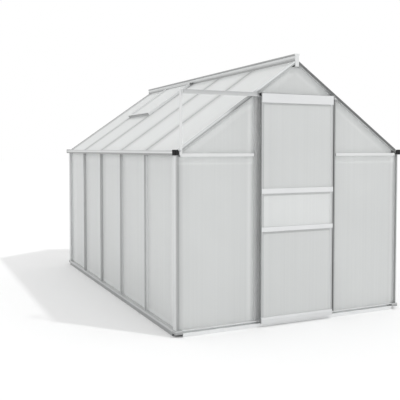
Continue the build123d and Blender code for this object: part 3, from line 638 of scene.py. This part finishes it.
# Very dark base colour is painted shade on the right rafter's underside.
SHADED_RIGHT_RAFTER_METAL = Aluminium(
    "shaded_right_rafter_aluminium",
    dark=(0.14, 0.142, 0.142),
    light=(0.18, 0.182, 0.182),
    roughness=0.5,
    zones=(Zone(4.0, y=(1.40, 1.5195)),),  # painted light behind the outer face
)
ROOF_BAR_METAL = Aluminium(
    "roof_bar_aluminium", dark=(0.46, 0.47, 0.47), light=(0.54, 0.55, 0.55), roughness=0.44
)
RIDGE_METAL = Aluminium(
    "ridge_aluminium",
    dark=(0.62, 0.63, 0.63),
    light=(0.72, 0.73, 0.73),
    roughness=0.40,
    zones=(
        Zone(0.55, z=(1.940, 2.0)),  # painted shade on the top
        Zone(0.52, z=(1.80, 1.914)),  # painted shadow at the foot, where the ridge meets the sheets
    ),
)
RIDGE_CAP_METAL = Aluminium(
    "ridge_cap_aluminium", dark=(0.66, 0.67, 0.67), light=(0.76, 0.77, 0.77), roughness=0.40
)
GUTTER_METAL = Aluminium(
    "gutter_aluminium",
    dark=(0.64, 0.65, 0.65),
    light=(0.74, 0.75, 0.75),
    roughness=0.40,
    zones=(
        Zone(0.45, z=(1.20, 1.239), soft=0.004),  # painted shade on the lower part
        Zone(0.80, z=(1.249, 1.30), soft=0.004),  # upper part
    ),
)
FRONT_BASE_METAL = Aluminium(
    "front_base_aluminium",
    dark=(0.68, 0.69, 0.69),
    light=(0.78, 0.79, 0.79),
    roughness=0.40,
    zones=(
        Zone(1.06, z=(-0.01, 0.0255)),  # painted light on the lower part
        Zone(1.28, z=(0.0255, 0.034)),  # painted light on the groove strip above it
    ),
)
# Darker base colour is painted shade on the side base rails.
SHADED_SIDE_BASE_METAL = Aluminium(
    "shaded_side_base_aluminium",
    dark=(0.54, 0.55, 0.55),
    light=(0.62, 0.63, 0.63),
    roughness=0.42,
    zones=(Zone(0.59, z=(0.003, 0.029), soft=0.006),),  # painted shade on the lower part
)
CORNER_METAL = Aluminium(
    "corner_aluminium",
    dark=(0.48, 0.49, 0.49),
    light=(0.56, 0.57, 0.57),
    roughness=0.45,
    zones=(Zone(0.68, z=(0.0, 0.036), soft=0.006),),  # painted shade on the foot
)
VENT_METAL = Aluminium(
    "vent_aluminium", dark=(0.54, 0.55, 0.55), light=(0.62, 0.63, 0.63), roughness=0.44
)
# Lighter base colour is painted light on the vent's side rails.
VENT_SIDE_METAL = Aluminium(
    "vent_side_aluminium", dark=(0.74, 0.75, 0.75), light=(0.82, 0.83, 0.83), roughness=0.44
)
# Dark base colour is painted shade on the vent foot's down-slope face.
VENT_FOOT_METAL = Aluminium(
    "vent_foot_aluminium",
    dark=(0.31, 0.315, 0.315),
    light=(0.37, 0.375, 0.375),
    roughness=0.45,
    zones=(
        Zone(2.1, z=(1.6125, 1.70)),  # painted light on the upper part
        Zone(1.7, z=(1.50, 1.6005), soft=0.003),  # painted light on the lower part
    ),
)
TRACK_METAL = Aluminium(
    "track_aluminium", dark=(0.55, 0.56, 0.56), light=(0.64, 0.65, 0.65), roughness=0.42
)
STRUT_METAL = Aluminium(
    "strut_aluminium", dark=(0.64, 0.65, 0.65), light=(0.74, 0.75, 0.75), roughness=0.42
)
DOOR_METAL = Aluminium(
    "door_rail_aluminium",
    dark=(0.67, 0.68, 0.69),
    light=(0.77, 0.78, 0.78),
    roughness=0.36,
    zones=(Zone(0.92, z=(0.0, 0.055), soft=0.006),),  # painted shade on the lower part of the bottom rail
)
# Darker base colour is painted shade on the left stile.
LEFT_STILE_METAL = Aluminium(
    "left_stile_aluminium", dark=(0.47, 0.48, 0.48), light=(0.54, 0.55, 0.55), roughness=0.42
)
# Dark base colour is painted shade on the right stile.
SHADED_RIGHT_STILE_METAL = Aluminium(
    "shaded_right_stile_aluminium",
    dark=(0.39, 0.395, 0.395),
    light=(0.45, 0.455, 0.455),
    roughness=0.45,
    zones=(Zone(1.72, x=(0.27, 0.296), soft=0.001),),  # painted light on all but the outer edge
)
SIDE_SHEET = TwinWallSheet(
    "side_sheet",
    dark=(0.715, 0.73, 0.725),
    light=(0.80, 0.815, 0.81),
    zones=(
        Zone(1.06, z=(1.15, 1.40), soft=0.10),  # painted light under the eaves, against the gutter's shadow
        one_side(1.08, y=(1.30, 1.60), soft=0.10),  # rear end
        Zone(1.15, z=(0.0, 0.07), soft=0.03),  # painted light on the foot
        Zone(1.08, x=(0.0, 0.9228)),  # painted light on the inner faces
    ),
)
FRONT_SHEET = TwinWallSheet(
    "front_sheet",
    dark=(0.673, 0.687, 0.682),
    light=(0.76, 0.775, 0.77),
    zones=(
        Zone(0.99, z=(-0.3, 0.4), soft=0.6),  # painted shade toward the ground
        one_side(0.74, x=(-1.0, -0.914), soft=0.004),  # painted shadow in a line beside the left post
        one_side(0.86, x=(-1.0, -0.895), soft=0.04),  # painted shade along the left edge
        one_side(1.12, x=(-0.39, -0.33), soft=0.03),  # painted light beside the left jamb
        one_side(0.86, x=(0.30, 0.365), soft=0.02),  # painted shadow of the door beside the right jamb
        one_side(1.10, x=(0.90, 1.0), soft=0.02),  # painted light along the right edge
        Zone(1.14, z=(1.165, 1.217), soft=0.03),  # painted light under the crossbars, against their shadow
        Zone(1.08, slope=(-0.08, 0.0), soft=0.03),  # painted light under the rafters, against their shadow
        Zone(1.15, y=(0.0, 1.4928)),  # painted light on the inner faces
    ),
)
DOOR_SHEET = TwinWallSheet(
    "door_sheet",
    dark=(0.671, 0.685, 0.68),
    light=(0.758, 0.773, 0.768),
    zones=(
        Zone(0.98, z=(-0.3, 0.6), soft=0.6),  # painted shade toward the ground
        Zone(0.86, z=(1.583, 1.65), soft=0.006),  # painted shadow under the head rail
        Zone(0.84, z=(0.664, 0.72), soft=0.006),  # painted shadow under the lower mid rail
    ),
)
ROOF_SHEET = TwinWallSheet(
    "roof_sheet",
    dark=(0.80, 0.815, 0.81),
    light=(0.895, 0.91, 0.905),
    zones=(
        Zone(0.82, y=(0.22, 0.38), soft=0.10),  # painted shade along the inner roof bars
        Zone(0.82, y=(0.82, 0.98), soft=0.10),  # painted shade along the outer roof bars
        one_side(0.66, y=(1.40, 1.60), soft=0.06),  # painted shade along the rear edge
        Zone(1.05, slope=(-0.02, -0.0042)),  # painted light on the inner faces
    ),
)
INFILL_SHEET = TwinWallSheet(
    "door_infill_sheet",
    dark=(0.748, 0.763, 0.758),
    light=(0.84, 0.855, 0.85),
    zones=(Zone(0.82, z=(0.936, 0.98), soft=0.006),),  # painted shadow under the upper mid rail
)
BLACK = MouldedPlastic("black_moulding")
GREY = MouldedPlastic("grey_moulding", dark=(0.40, 0.405, 0.405), light=(0.50, 0.505, 0.505))
ZINC = ZincSteel("zinc_steel")
BLACK_STEEL = ZincSteel("black_steel", dark=(0.030, 0.030, 0.031), light=(0.060, 0.060, 0.062))


class SubAssembly(Protocol):
    """A group of pieces that is built and dressed together."""

    def build(self) -> None:
        """Make the pieces and give every node its finish."""


def dress(nodes: tuple[str, ...], material: bpy.types.Material) -> None:
    """Give CAD nodes a finish.

    Args:
        nodes: names of the nodes.
        material: finish of all of them.
    """
    for name in nodes:
        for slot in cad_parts[name].material_slots:
            slot.material = material
        log.info("dressed %s in %s", name, material.name)


def add_piece(name: str, mesh: bmesh.types.BMesh, material: bpy.types.Material) -> bpy.types.Object:
    """Turn a finished mesh into a piece of the scene.

    Args:
        name: name of the piece.
        mesh: its shape in the shared frame; it is freed here.
        material: its finish.

    Returns:
        The new object.
    """
    data = bpy.data.meshes.new(name)
    mesh.to_mesh(data)
    mesh.free()
    data.materials.append(material)
    piece = bpy.data.objects.new(name, data)
    bpy.context.scene.collection.objects.link(piece)
    log.info("built %s", name)
    return piece


def add_rounded_block(mesh: bmesh.types.BMesh, low: Vector, high: Vector, radius: float) -> None:
    """Add a block with rounded edges.

    Args:
        mesh: mesh that takes the block.
        low: lowest corner.
        high: highest corner.
        radius: radius of the edges.
    """
    placed = Matrix.Translation((low + high) / 2) @ Matrix.Diagonal((*(high - low), 1.0))
    made = bmesh.ops.create_cube(mesh, size=1.0, matrix=placed)
    edges = {edge for vertex in made["verts"] for edge in vertex.link_edges}
    bmesh.ops.bevel(
        mesh,
        geom=list(edges),
        offset=radius,
        segments=ROUND_SEGMENTS,
        profile=ROUND_PROFILE,
        affect="EDGES",
        clamp_overlap=True,
    )


@dataclass
class BaseFrame:
    """Base rails and the blocks at their corners."""

    along_x: tuple[str, ...] = ("base_rail_front", "base_rail_rear")
    along_y: tuple[str, ...] = ("base_rail_left", "base_rail_right")
    corners: tuple[str, ...] = ("base_corners",)

    def build(self) -> None:
        """Dress the rails and corner blocks."""
        dress(self.along_x, FRONT_BASE_METAL.material(Run.ALONG_X))
        dress(self.along_y, SHADED_SIDE_BASE_METAL.material(Run.ALONG_Y))
        dress(self.corners, CORNER_METAL.material(Run.ALONG_Z))


@dataclass
class SideWalls:
    """Corner posts, wall bars and wall sheets."""

    left_post: tuple[str, ...] = ("corner_post_front_left",)
    right_post: tuple[str, ...] = ("corner_post_front_right",)
    rear_posts: tuple[str, ...] = ("corner_post_rear_left", "corner_post_rear_right")
    bars: tuple[str, ...] = ("wall_bars_left", "wall_bars_right")
    sheets: tuple[str, ...] = ("wall_sheets_left", "wall_sheets_right")

    def build(self) -> None:
        """Dress the posts, bars and sheets."""
        dress(self.left_post, LEFT_POST_METAL.material(Run.ALONG_Z))
        dress(self.bars, POST_METAL.material(Run.ALONG_Z))
        dress(self.right_post, CORNER_POST_METAL.material(Run.ALONG_Z))
        dress(self.rear_posts, REAR_METAL.material(Run.ALONG_Z))
        dress(self.sheets, SIDE_SHEET.material(Axis.Y))


@dataclass
class Gables:
    """Rafters, posts, crossbars, headers and sheets of both gables."""

    front_left_rafter: tuple[str, ...] = ("front_rafter_left",)
    front_right_rafter: tuple[str, ...] = ("front_rafter_right",)
    rear_left_rafter: tuple[str, ...] = ("rear_rafter_left",)
    rear_right_rafter: tuple[str, ...] = ("rear_rafter_right",)
    left_jamb: tuple[str, ...] = ("door_post_left",)
    right_jamb: tuple[str, ...] = ("door_post_right",)
    posts: tuple[str, ...] = ("rear_post_left", "rear_post_right")
    crossbars: tuple[str, ...] = ("front_crossbars", "rear_crossbars")
    headers: tuple[str, ...] = ("door_header", "rear_header")
    sheets: tuple[str, ...] = ("front_gable_sheets", "rear_gable_sheets")

    def build(self) -> None:
        """Dress the bars and sheets."""
        dress(self.front_left_rafter, LEFT_RAFTER_METAL.material(Run.DOWN_LEFT))
        dress(self.front_right_rafter, SHADED_RIGHT_RAFTER_METAL.material(Run.DOWN_RIGHT))
        dress(self.rear_left_rafter, REAR_METAL.material(Run.DOWN_LEFT))
        dress(self.rear_right_rafter, REAR_METAL.material(Run.DOWN_RIGHT))
        dress(self.left_jamb, JAMB_METAL.material(Run.ALONG_Z))
        dress(self.right_jamb, SHADED_JAMB_METAL.material(Run.ALONG_Z))
        dress(self.posts, GABLE_METAL.material(Run.ALONG_Z))
        dress(self.crossbars, CROSS_METAL.material(Run.ALONG_X))
        dress(self.headers, TRACK_METAL.material(Run.ALONG_X))
        dress(self.sheets, FRONT_SHEET.material(Axis.X))


@dataclass
class Gutters:
    """Eaves gutters with their moulded end caps."""

    gutters: tuple[str, ...] = ("gutter_left", "gutter_right")
    cap_node: str = "gutter_end_caps"
    cap_width: float = 44.0 * MILLIMETRE
    cap_thickness: float = 6.0 * MILLIMETRE
    plate_thickness: float = 2.4 * MILLIMETRE
    lobe_margin: float = 2.5 * MILLIMETRE
    lobe_gap: float = 2.4 * MILLIMETRE
    plate_radius: float = 1.2 * MILLIMETRE
    lobe_radius: float = 2.0 * MILLIMETRE

    def add_cap(self, mesh: bmesh.types.BMesh, side: int, end: int) -> None:
        """Add one cap: a back plate with two lobes and a seam between them.

        Args:
            mesh: mesh that takes the cap.
            side: -1 for the left gutter, 1 for the right one.
            end: -1 for the door gable, 1 for the rear one.
        """
        low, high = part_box(self.cap_node)
        outer, face = side * high.x, end * high.y
        inner, back = outer - side * self.cap_width, face - end * self.cap_thickness
        plate = back + end * self.plate_thickness
        middle = (outer + inner) / 2

        def block(x_span: Span, y_span: Span, inset: float, radius: float) -> None:
            """Add a rounded block over two spans.

            Args:
                x_span: both places across the gable, in any order.
                y_span: both places along the gutter, in any order.
                inset: how far it stays within the cap's height at foot and head.
                radius: radius of the edges.
            """
            lowest = Vector((min(x_span), min(y_span), low.z + inset))
            highest = Vector((max(x_span), max(y_span), high.z - inset))
            add_rounded_block(mesh, lowest, highest, radius)

        block((inner, outer), (back, plate), 0.0, self.plate_radius)
        for edge, toward in ((inner, side), (outer, -side)):
            start = edge + toward * self.lobe_margin
            stop = middle - toward * self.lobe_gap / 2
            root = plate - end * self.plate_radius
            block((start, stop), (root, face), self.lobe_margin, self.lobe_radius)

    def build(self) -> None:
        """Dress the gutters and make the caps."""
        dress(self.gutters, GUTTER_METAL.material(Run.ALONG_Y))
        mesh = bmesh.new()
        for side in (-1, 1):
            for end in (-1, 1):
                self.add_cap(mesh, side, end)
        caps = add_piece("gutter_caps", mesh, BLACK.material())
        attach(caps, "frame")
        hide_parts(self.cap_node)


@dataclass
class RoofSlopes:
    """Roof bars, roof sheets, and the ridge with its end caps."""

    left_bars: tuple[str, ...] = ("roof_bars_left",)
    right_bars: tuple[str, ...] = ("roof_bars_right",)
    sheets: tuple[str, ...] = ("roof_sheets_left", "roof_sheets_right")
    ridge: tuple[str, ...] = ("ridge_beam",)
    ridge_caps: tuple[str, ...] = ("ridge_end_caps",)

    def build(self) -> None:
        """Dress the bars, sheets and ridge."""
        dress(self.left_bars, ROOF_BAR_METAL.material(Run.DOWN_LEFT))
        dress(self.right_bars, ROOF_BAR_METAL.material(Run.DOWN_RIGHT))
        dress(self.sheets, ROOF_SHEET.material(Axis.Y))
        dress(self.ridge, RIDGE_METAL.material(Run.ALONG_Y))
        dress(self.ridge_caps, RIDGE_CAP_METAL.material(Run.ALONG_Y))


@dataclass
class RoofVent:
    """Hinged vent in the left slope, its sill and its stay."""

    foot: tuple[str, ...] = ("vent_bottom_rail",)
    rails_across: tuple[str, ...] = ("vent_sill", "vent_top_rail")
    side_rails: tuple[str, ...] = ("vent_side_rails",)
    pane: tuple[str, ...] = ("vent_pane",)
    stay: tuple[str, ...] = ("vent_stay",)

    def build(self) -> None:
        """Dress the vent."""
        dress(self.foot, VENT_FOOT_METAL.material(Run.ALONG_Y))
        dress(self.rails_across, VENT_METAL.material(Run.ALONG_Y))
        dress(self.side_rails, VENT_SIDE_METAL.material(Run.DOWN_LEFT))
        dress(self.pane, ROOF_SHEET.material(Axis.Y))
        dress(self.stay, ZINC.material())


@dataclass
class SlidingDoor:
    """Sliding door, its track and strut, rollers, stops and guides."""

    left_stile: tuple[str, ...] = ("door_stile_left",)
    right_stile: tuple[str, ...] = ("door_stile_right",)
    rails: tuple[str, ...] = (
        "door_head_rail",
        "door_bottom_rail",
        "door_mid_rail_lower",
        "door_mid_rail_upper",
    )
    sheets: tuple[str, ...] = ("door_sheet_lower", "door_sheet_upper")
    infill: tuple[str, ...] = ("door_sheet_middle",)
    track: tuple[str, ...] = ("door_track",)
    strut: tuple[str, ...] = ("track_strut",)
    mouldings: tuple[str, ...] = ("door_roller_left", "door_roller_right", "door_guides")
    stops: tuple[str, ...] = ("track_stops",)
    hangers: tuple[str, ...] = ("door_hangers",)
    bolts: tuple[str, ...] = ("track_bolts",)

    def build(self) -> None:
        """Dress the door and its track."""
        dress(self.left_stile, LEFT_STILE_METAL.material(Run.ALONG_Z))
        dress(self.right_stile, SHADED_RIGHT_STILE_METAL.material(Run.ALONG_Z))
        dress(self.rails, DOOR_METAL.material(Run.ALONG_X))
        dress(self.sheets, DOOR_SHEET.material(Axis.X))
        dress(self.infill, INFILL_SHEET.material(Axis.X))
        dress(self.track, TRACK_METAL.material(Run.ALONG_X))
        dress(self.strut, STRUT_METAL.material(Run.ALONG_Z))
        dress(self.mouldings, BLACK.material())
        dress(self.stops, GREY.material())
        dress(self.hangers, BLACK_STEEL.material())
        dress(self.bolts, ZINC.material())


@dataclass
class Studio:
    """White floor, sky and a soft sun from the front right."""

    floor_half: float = 60.0
    floor_cells: int = 8
    floor_drop: float = 0.5 * MILLIMETRE
    floor_colour: Colour = (0.97, 0.97, 0.97)
    floor_roughness: float = 0.9
    sky_level: float = 0.90
    white_rays: tuple[str, ...] = ("Is Camera Ray", "Is Glossy Ray", "Is Transmission Ray")
    sun_direction: Point = (0.401, -0.463, 0.791)
    sun_level: float = 0.24
    sun_spread: float = math.radians(2.5)

    def build(self) -> None:
        """Make the floor, the sky and the sun."""
        self.add_floor()
        self.add_sky()
        self.add_sun()

    def add_floor(self) -> None:
        """Lay the floor just under the base rails."""
        mesh = bmesh.new()
        bmesh.ops.create_grid(
            mesh,
            x_segments=self.floor_cells,
            y_segments=self.floor_cells,
            size=self.floor_half,
            matrix=Matrix.Translation((0, 0, -self.floor_drop)),
        )
        material, graph = new_graph("studio_floor")
        graph.surface(
            {
                "Base Color": (*self.floor_colour, 1.0),
                "Roughness": self.floor_roughness,
                "Specular IOR Level": 0.0,
            }
        )
        add_piece("studio_floor", mesh, material)

    def add_sky(self) -> None:
        """Light the scene from all sides, and show white to the camera, to reflections and through sheets."""
        world = bpy.data.worlds.new("studio_sky")
        bpy.context.scene.world = world
        graph = Graph(world)
        shown = reduce(or_, (graph.node("ShaderNodeLightPath", {}, {}, name) for name in self.white_rays))
        strength = self.sky_level + shown * (1.0 - self.sky_level)
        sky = graph.node("ShaderNodeBackground", {}, {"Color": (1.0, 1.0, 1.0, 1.0), "Strength": strength})
        graph.close("ShaderNodeOutputWorld", sky)

    def add_sun(self) -> None:
        """Hang the sun; a white surface that faces it gains the sun level."""
        lamp = bpy.data.lights.new("studio_sun", "SUN")
        lamp.energy = self.sun_level * math.pi
        lamp.angle = self.sun_spread
        sun = bpy.data.objects.new("studio_sun", lamp)
        sun.rotation_euler = Vector(self.sun_direction).to_track_quat("Z", "Y").to_euler()
        bpy.context.scene.collection.objects.link(sun)


@dataclass
class PhotoCamera:
    """Camera at the photograph's place."""

    position: Point = (-2.5695, -5.4077, 1.2667)
    yaw: float = math.radians(24.826)
    pitch: float = math.radians(2.4)
    focal_pixels: float = 634.36
    horizon_rise: float = 24.22
    image_pixels: float = 400.0
    sensor: float = 36.0

    def build(self) -> None:
        """Place the camera and make it the scene's camera."""
        data = bpy.data.cameras.new("photo_camera")
        data.sensor_fit = "HORIZONTAL"
        data.sensor_width = self.sensor
        data.lens = self.focal_pixels / self.image_pixels * self.sensor
        data.shift_y = -self.horizon_rise / self.image_pixels
        camera = bpy.data.objects.new("photo_camera", data)
        camera.location = self.position
        camera.rotation_euler = (math.pi / 2 - self.pitch, 0.0, -self.yaw)
        bpy.context.scene.collection.objects.link(camera)
        bpy.context.scene.camera = camera


def write_sizes() -> None:
    """Bring the view layer up to date."""
    bpy.context.view_layer.update()


def main() -> None:
    """Build every sub-assembly, then the studio and the camera."""
    logging.basicConfig(level=logging.INFO, format="%(name)s: %(message)s")
    bpy.context.scene.view_settings.view_transform = "Standard"
    assemblies: tuple[SubAssembly, ...] = (
        BaseFrame(),
        SideWalls(),
        Gables(),
        Gutters(),
        RoofSlopes(),
        RoofVent(),
        SlidingDoor(),
        Studio(),
        PhotoCamera(),
    )
    for assembly in assemblies:
        log.info("building %s", type(assembly).__name__)
        assembly.build()
    write_sizes()


if __name__ == "__main__":
    main()
